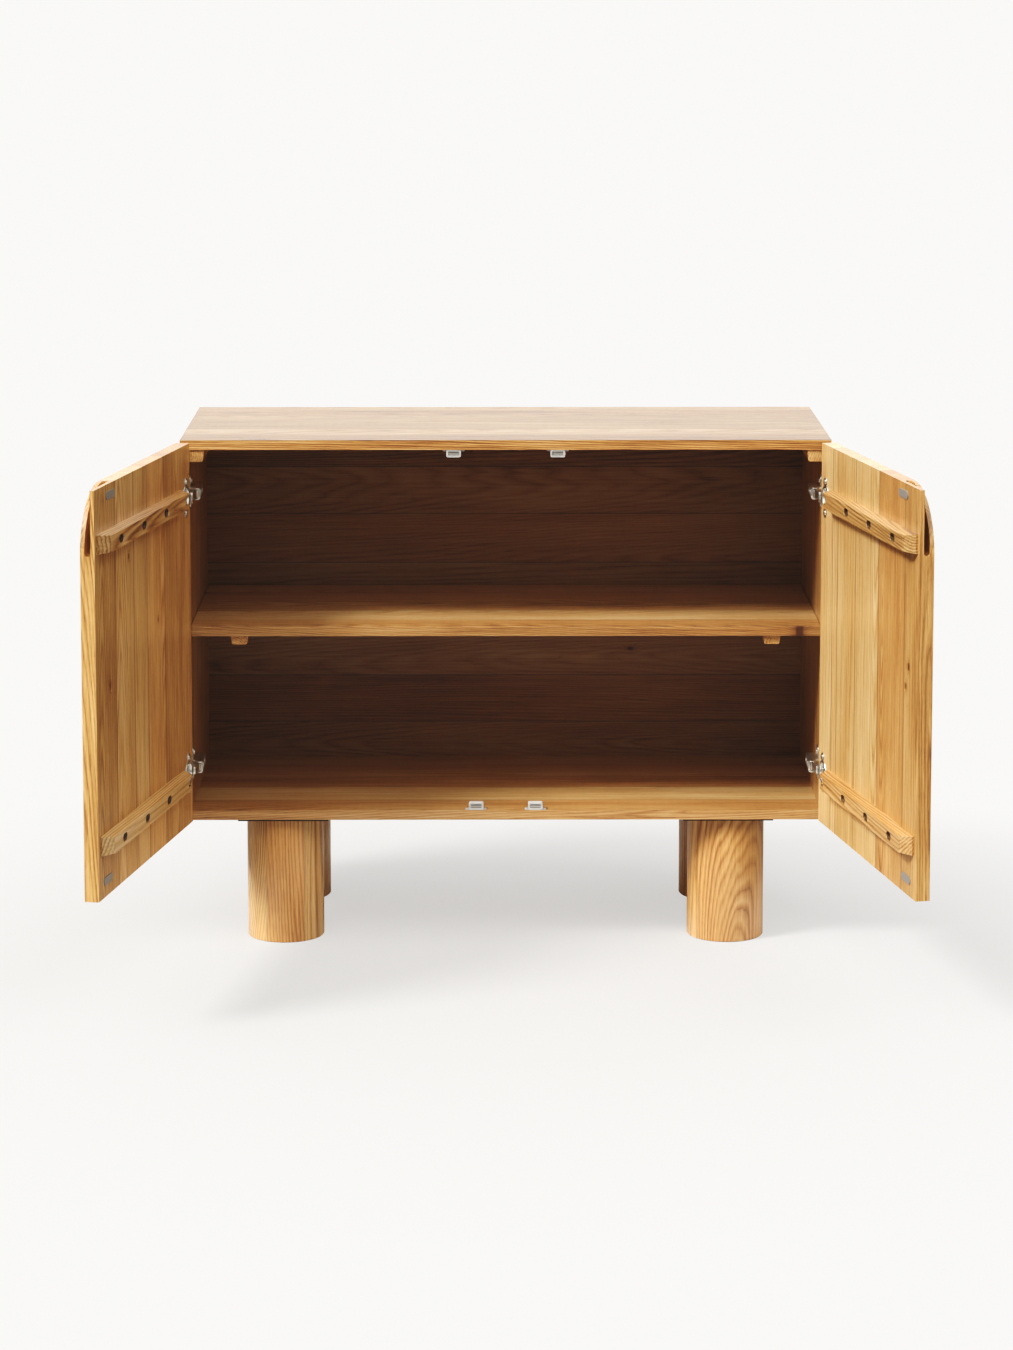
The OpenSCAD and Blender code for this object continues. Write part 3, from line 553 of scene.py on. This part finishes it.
def makeHingeArm(hand, side, level):
    # A folded channel with two cheeks round the pivot pin, and its two adjusting screws.
    nodeName = f"hinge_arm_{hand}_{level}"
    low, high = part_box(nodeName)
    screwHead = [(0.05, 0.4), (0.7, 0.4), (0.8, 0.9), (2.7, 0.9), (3.1, 0.6), (3.1, -0.6), (0.05, -0.6)]
    parts = [(channel(9.0, 12.0, 1.5, 3.2, 11.5, 61.0), 0)]
    for place in (23.0, 47.0):
        head, headFaces = turned(screwHead, (0, place), 32)
        parts.append(((head + (0, 0, 12.0), headFaces), 1))
        parts.append((frameRing((3.9, 5.2, 3.6), (3.3, 4.6, 3.0), 11.8, 12.25), 0))
        ring, ringFaces = parts.pop()[0]
        parts.append(((ring + (0, place, 0), ringFaces), 0))
    for way in (-1, 1):
        cheek, cheekFaces = slab(6.4, 6.0, 5.2, -0.75, 0.75, 0.3)
        turnedCheek = np.column_stack([cheek[:, 2] + way * 8.25, cheek[:, 0] + 6.4, cheek[:, 1] + 6.0])
        parts.append(((turnedCheek, cheekFaces), 0))
    cap, capFaces = slab(7.3, 5.0, 1.4, 0.0, 1.6, 0.5)
    parts.append(((np.column_stack([cap[:, 0], cap[:, 2] + 11.0, cap[:, 1] + 5.4]), capFaces), 0))
    pin, pinFaces = turned([(0.05, -9.0), (1.2, -9.0), (1.5, -8.7), (1.5, 8.7), (1.2, 9.0), (0.05, 9.0)], steps=32)
    parts.append(((np.column_stack([pin[:, 2], pin[:, 0] + 4.0, pin[:, 1] + 6.0]), pinFaces), 1))
    wall = low.x if side < 0 else high.x
    origin = (wall, low.y, (low.z + high.z) / 2)
    makePiece(f"hingeArm_{hand}_{level}", parts, origin, (zAxis, yAxis, (-side, 0, 0)), [nickelSteel, zincSteel],
              "carcass", nodeName)


def makeHingePlate(hand, side, level):
    # A winged base on the side panel with a ribbed block that the arm clips over.
    nodeName = f"hinge_plate_{hand}_{level}"
    low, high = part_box(nodeName)
    parts = [(slab(25.8, 12.3, 7.0, 0.0, 2.0, 0.6, (0, 16.5)), 0), (slab(7.2, 20.0, 2.4, 0.0, 15.2, 1.2, (0, 20.0)), 0)]
    for place in (6.0, 13.0, 20.0, 27.0, 34.0):
        parts.append((slab(6.6, 1.6, 1.0, 14.6, 16.4, 0.5, (0, place)), 0))
    for way in (-1, 1):
        parts.append((turned([(2.2, 1.8), (4.6, 1.8), (4.6, 2.3), (4.1, 2.6), (3.0, 2.5), (2.2, 2.1)],
                             (way * 16.0, 16.0), 32), 0))
    wall = low.x if side < 0 else high.x
    origin = (wall, low.y, (low.z + high.z) / 2)
    makePiece(f"hingePlate_{hand}_{level}", parts, origin, (zAxis, yAxis, (-side, 0, 0)), [nickelSteel],
              "carcass", nodeName)


def makeCatch(nodeName, flip):
    # A moulded shell with a bezel, two steel pole plates in its window and two ears.
    low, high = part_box(nodeName)
    away = -1 if flip else 1
    bodyShell, bodyFaces = slab(11.4, 5.9, 2.6, 1.6, 12.9, 1.0)
    bezel, bezelFaces = frameRing((11.4, 5.9, 2.6), (8.6, 3.2, 1.0), 0.1, 2.4)
    parts = []
    for points, faces, kind in ((bodyShell, bodyFaces, 0), (bezel, bezelFaces, 0),
                                (*slab(8.0, 0.75, 0.4, 0.9, 2.4, 0.2, (0, 1.7)), 1),
                                (*slab(8.0, 0.75, 0.4, 0.9, 2.4, 0.2, (0, -1.7)), 1)):
        parts.append(((np.column_stack([points[:, 0], points[:, 2], 6.0 + points[:, 1]]), faces), kind))
    parts.append((slab(17.0, 4.4, 3.6, 0.0, 1.95, 0.5, (0, 6.0)), 0))
    base = high.z if flip else low.z
    origin = ((low.x + high.x) / 2, low.y, base)
    makePiece("catch" + nodeName[5:].title().replace("_", ""), parts, origin, (xAxis, yAxis, (0, 0, away)),
              [greyPlastic, zincSteel], "carcass", nodeName, 0.3)


for side, hand in ((-1, "left"), (1, "right")):
    for level in ("upper", "lower"):
        makeHingeCup(hand, side, level, doorCorner[side])
        makeHingeArm(hand, side, level)
        makeHingePlate(hand, side, level)
for height in ("upper", "lower"):
    for hand in ("left", "right"):
        makeCatch(f"catch_{height}_{hand}", height == "upper")
for nodeName in frame["nodes"]:
    if "_strike" in nodeName:
        dress(nodeName, zincSteel, 0.0 if "screws" in nodeName else 0.3, 2)
    elif "hinge_link" in nodeName or "pins" in nodeName:
        dress(nodeName, nickelSteel, 0.25, 2)
    elif "screws" in nodeName or "bolts" in nodeName:
        dress(nodeName, nickelSteel, 0.0)
print("stage: metal and plastic made")

# ---- floor, light and camera ----

studio = {
    "paper": "#f9f8f6",
    "keyDirection": (0.62, 0.36, -0.70),
    "keyStrength": 3.2,
    "keyAngle": 15.0,
    "frontSky": 4.0,
    "backSky": 0.3,
    "surround": 0.30,
    "floorGlow": 0.56,
    "floorWhite": 0.52,
    "bounceNear": 0.70,
    "bounceFar": 0.12,
    "toneCurve": ((0.0, 0.004), (0.06, 0.036), (0.2, 0.195), (0.45, 0.5), (0.92, 0.93), (1.0, 1.0)),
}


def makeFloor():
    # A flat sheet far larger than the view.
    half = 600.0
    mesh = bpy.data.meshes.new("studioFloor")
    points = np.array([(-half, -half, 0), (half, -half, 0), (half, half, 0), (-half, half, 0)])
    mesh.from_pydata(points.tolist(), [], [(0, 1, 2, 3)])
    obj = bpy.data.objects.new("studioFloor", mesh)
    bpy.context.scene.collection.objects.link(obj)
    material = bpy.data.materials.new("whitePaperFloor")
    material.use_nodes = True
    tree = material.node_tree
    tree.nodes.clear()
    paper = linearColour(studio["paper"])
    matte = put(tree, "ShaderNodeBsdfDiffuse", None, {0: [c * studio["floorWhite"] for c in paper[:3]] + [1]})
    glow = put(tree, "ShaderNodeEmission", None, {0: paper, 1: 1.0})
    path = put(tree, "ShaderNodeLightPath")
    coords = put(tree, "ShaderNodeTexCoord")
    far = put(tree, "ShaderNodeVectorMath", {"operation": "LENGTH"}, {0: coords.outputs["Object"]})
    share = chain(tree, [("SUBTRACT", 0.55), ("MULTIPLY", 0.55), ("MAXIMUM", 0.0), ("ADD", studio["floorGlow"]),
                         ("MINIMUM", 0.97)], far.outputs["Value"])
    bounce = put(tree, "ShaderNodeMapRange", {"interpolation_type": "SMOOTHSTEP"},
                 {0: far.outputs["Value"], 1: 0.5, 2: 1.0, 3: studio["bounceNear"], 4: studio["bounceFar"]})
    tint = put(tree, "ShaderNodeCombineColor", None, {i: bounce.outputs[0] for i in range(3)})
    dull = put(tree, "ShaderNodeBsdfDiffuse", None, {0: tint.outputs[0]})
    paperSeen = put(tree, "ShaderNodeMixShader", None, {0: share, 1: matte.outputs[0], 2: glow.outputs[0]})
    seen = put(tree, "ShaderNodeMixShader", None,
               {0: path.outputs["Is Camera Ray"], 1: dull.outputs[0], 2: paperSeen.outputs[0]})
    put(tree, "ShaderNodeOutputMaterial", None, {"Surface": seen.outputs[0]})
    mesh.materials.append(material)
    return obj


def makeLight():
    # A soft key from the front left and a pale surround that is brighter in reflections than as light.
    data = bpy.data.lights.new("keyLight", "SUN")
    data.energy = studio["keyStrength"]
    data.angle = math.radians(studio["keyAngle"])
    obj = bpy.data.objects.new("keyLight", data)
    obj.rotation_euler = Vector(studio["keyDirection"]).to_track_quat("-Z", "Y").to_euler()
    bpy.context.scene.collection.objects.link(obj)
    world = bpy.data.worlds.new("studioWorld")
    world.use_nodes = True
    bpy.context.scene.world = world
    tree = world.node_tree
    tree.nodes.clear()
    path = put(tree, "ShaderNodeLightPath")
    coords = put(tree, "ShaderNodeTexCoord")
    axes = put(tree, "ShaderNodeSeparateXYZ", None, {0: coords.outputs["Generated"]})
    behind = put(tree, "ShaderNodeMapRange", {"interpolation_type": "SMOOTHSTEP"},
                 {0: axes.outputs[1], 1: -0.45, 2: 0.35, 3: 0.0, 4: 1.0}).outputs[0]
    ahead = put(tree, "ShaderNodeMapRange", {"interpolation_type": "SMOOTHSTEP"},
                {0: axes.outputs[1], 1: -0.15, 2: 0.2, 3: studio["frontSky"], 4: studio["backSky"]}).outputs[0]
    above = put(tree, "ShaderNodeMapRange", {"interpolation_type": "SMOOTHSTEP"},
                {0: axes.outputs[2], 1: 0.57, 2: 0.72, 3: 0.0, 4: 1.0}).outputs[0]
    zenith = put(tree, "ShaderNodeMapRange", {"interpolation_type": "SMOOTHSTEP"},
                 {0: axes.outputs[2], 1: 0.75, 2: 0.95, 3: 1.0, 4: 0.45}).outputs[0]
    band = chain(tree, [("MULTIPLY", ahead), ("MULTIPLY", zenith)], above)
    fill = chain(tree, [("MULTIPLY", studio["surround"]), ("ADD", band)], behind)
    dim = put(tree, "ShaderNodeBackground", None, {0: linearColour("#fbfaf8"), 1: fill})
    windows = put(tree, "ShaderNodeMapRange", {"interpolation_type": "SMOOTHSTEP"},
                  {0: axes.outputs[2], 1: 0.02, 2: 0.25, 3: 0.0, 4: 1.3}).outputs[0]
    mirror = put(tree, "ShaderNodeBackground", None,
                 {0: linearColour(studio["paper"]), 1: chain(tree, [("MAXIMUM", windows)], behind)})
    bright = put(tree, "ShaderNodeBackground", None, {0: linearColour(studio["paper"]), 1: 1.0})
    lit = put(tree, "ShaderNodeMixShader", None,
              {0: path.outputs["Is Diffuse Ray"], 1: mirror.outputs[0], 2: dim.outputs[0]})
    seen = put(tree, "ShaderNodeMixShader", None,
               {0: path.outputs["Is Camera Ray"], 1: lit.outputs[0], 2: bright.outputs[0]})
    put(tree, "ShaderNodeOutputWorld", None, {"Surface": seen.outputs[0]})


def makeCamera():
    # Looks along +Y from well in front, tilted down, with a lowered lens to keep the uprights upright.
    data = bpy.data.cameras.new("camera")
    data.sensor_width = 36
    data.lens = 99.54
    data.shift_y = -0.215
    data.clip_end = 200
    obj = bpy.data.objects.new("camera", data)
    bpy.context.scene.collection.objects.link(obj)
    obj.location = (-0.02602, frontY - 5.67316, 1.57319)
    obj.rotation_euler = (math.radians(90 - 6.9604), 0, math.radians(-0.2743))
    bpy.context.scene.camera = obj


makeFloor()
makeLight()
makeCamera()
view = bpy.context.scene.view_settings
view.view_transform = "Standard"
view.use_curve_mapping = True
toneCurve = view.curve_mapping.curves[3]
toneCurve.points[0].location = studio["toneCurve"][0]
toneCurve.points[1].location = studio["toneCurve"][-1]
for place in studio["toneCurve"][1:-1]:
    toneCurve.points.new(*place)
view.curve_mapping.update()
print("stage: studio ready")

print("stage: done")
